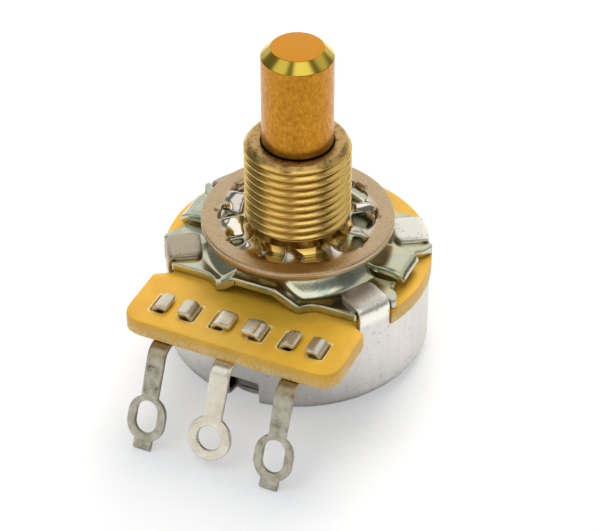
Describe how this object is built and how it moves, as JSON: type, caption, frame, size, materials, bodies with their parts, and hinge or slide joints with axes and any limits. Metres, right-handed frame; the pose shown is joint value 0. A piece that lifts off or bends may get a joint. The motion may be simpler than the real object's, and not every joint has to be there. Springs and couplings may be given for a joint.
{
  "type": "rotary potentiometer",
  "caption": "Panel potentiometer with a solid round brass shaft, threaded bushing, toothed lock washer, pressed plate, phenolic wafer, bent solder lugs and a steel cover held by folded tabs.",
  "frame": {"origin": "centre of the flat back of the dust cover, on the shaft's axis", "axes": "+Z along the shaft towards the knob end; -Y towards the solder lugs; +X completes the right-handed frame"},
  "size_m": [0.0242, 0.0321, 0.032],
  "materials": {
    "shaft_brass": "turned, satin, golden",
    "bushing_brass": "turned, satin, thread at its outside diameter",
    "washer_steel": "stamped spring steel, warm grey, satin",
    "plate_zinc": "zinc-chromated pressed steel, glossy grey-green",
    "phenolic": "paper phenolic, satin, tan yellow",
    "carbon_film": "printed carbon, matt black",
    "silver_film": "printed silver, matt",
    "tinned_lug": "tinned sheet, dull grey",
    "silvered_lug": "silver-plated sheet, pale satin",
    "ring_steel": "spring steel, dark",
    "driver_plastic": "moulded, off-white",
    "spring_bronze": "stamped phosphor bronze",
    "cover_tin": "tin-plated deep-drawn steel, pale satin"
  },
  "bodies": {
    "case": {"bushing": "bushing_brass", "lock_washer": "washer_steel", "mounting_plate": "plate_zinc", "wafer": "phenolic", "carbon_track": "carbon_film", "left_end_film": "silver_film", "right_end_film": "silver_film", "left_lug": "tinned_lug", "centre_lug": "silvered_lug", "right_lug": "tinned_lug", "dust_cover": "cover_tin"},
    "rotor": {"shaft": "shaft_brass", "retaining_ring": "ring_steel", "driver": "driver_plastic", "contact_spring": "spring_bronze"}
  },
  "joints": [
    {"name": "shaft_turn", "type": "hinge", "parent": "case", "child": "rotor", "pos_m": [0, 0, 0.016], "axis": [0, 0, 1], "range_deg": [-150, 150]}
  ]
}
